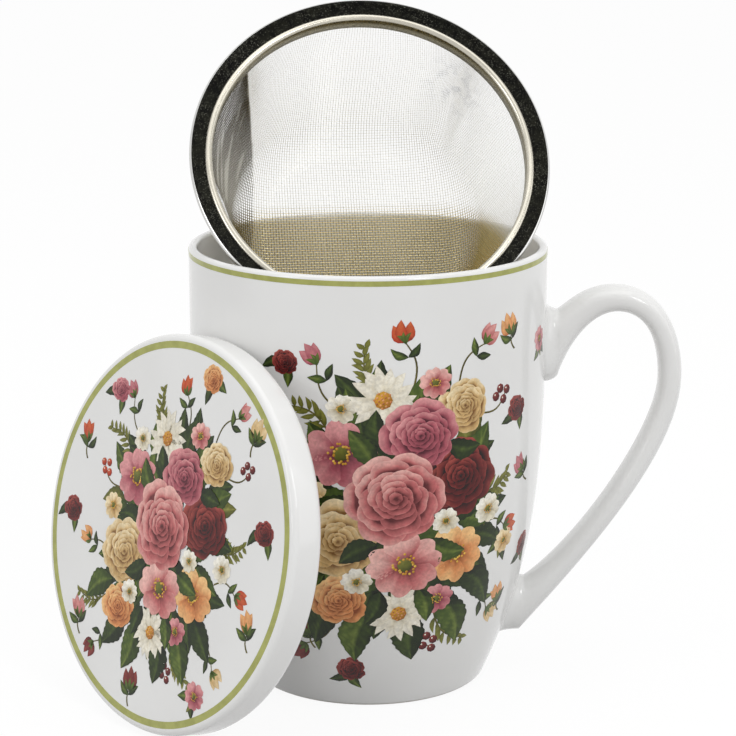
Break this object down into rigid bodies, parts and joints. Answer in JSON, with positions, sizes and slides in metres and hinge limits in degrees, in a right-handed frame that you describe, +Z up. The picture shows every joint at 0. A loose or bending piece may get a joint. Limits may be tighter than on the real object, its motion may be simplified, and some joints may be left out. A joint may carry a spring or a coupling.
{
  "type": "lidded tea mug with infuser",
  "caption": "Tall tapered porcelain tea mug with an ear handle, a drop-in steel mesh infuser tipped in its mouth and a flat disc lid leaning on its wall",
  "frame": {"origin": "centre of the mug's foot ring, on the table", "axes": "+Z up along the mug's axis, +X out through the handle, -Y towards the side with the leaning lid"},
  "size_m": [0.1516, 0.1171, 0.1614],
  "materials": {
    "porcelain": "white glossy glaze with a green line at the rim and printed flowers",
    "steel": "polished stainless steel",
    "steel_mesh": "fine woven stainless steel wire"
  },
  "bodies": {
    "mug": {"mug_body": "porcelain", "mug_handle": "porcelain"},
    "infuser": {"infuser_rim": "steel", "infuser_band": "steel", "infuser_basket": "steel_mesh"},
    "lid": {"lid": "porcelain"}
  },
  "joints": [
    {"name": "infuser_lift", "type": "slide", "parent": "mug", "child": "infuser", "axis": [0, 0, 1], "range_m": [0, 0.08]},
    {"name": "lid_lift", "type": "slide", "parent": "mug", "child": "lid", "axis": [0, 0, 1], "range_m": [0, 0.11]}
  ]
}
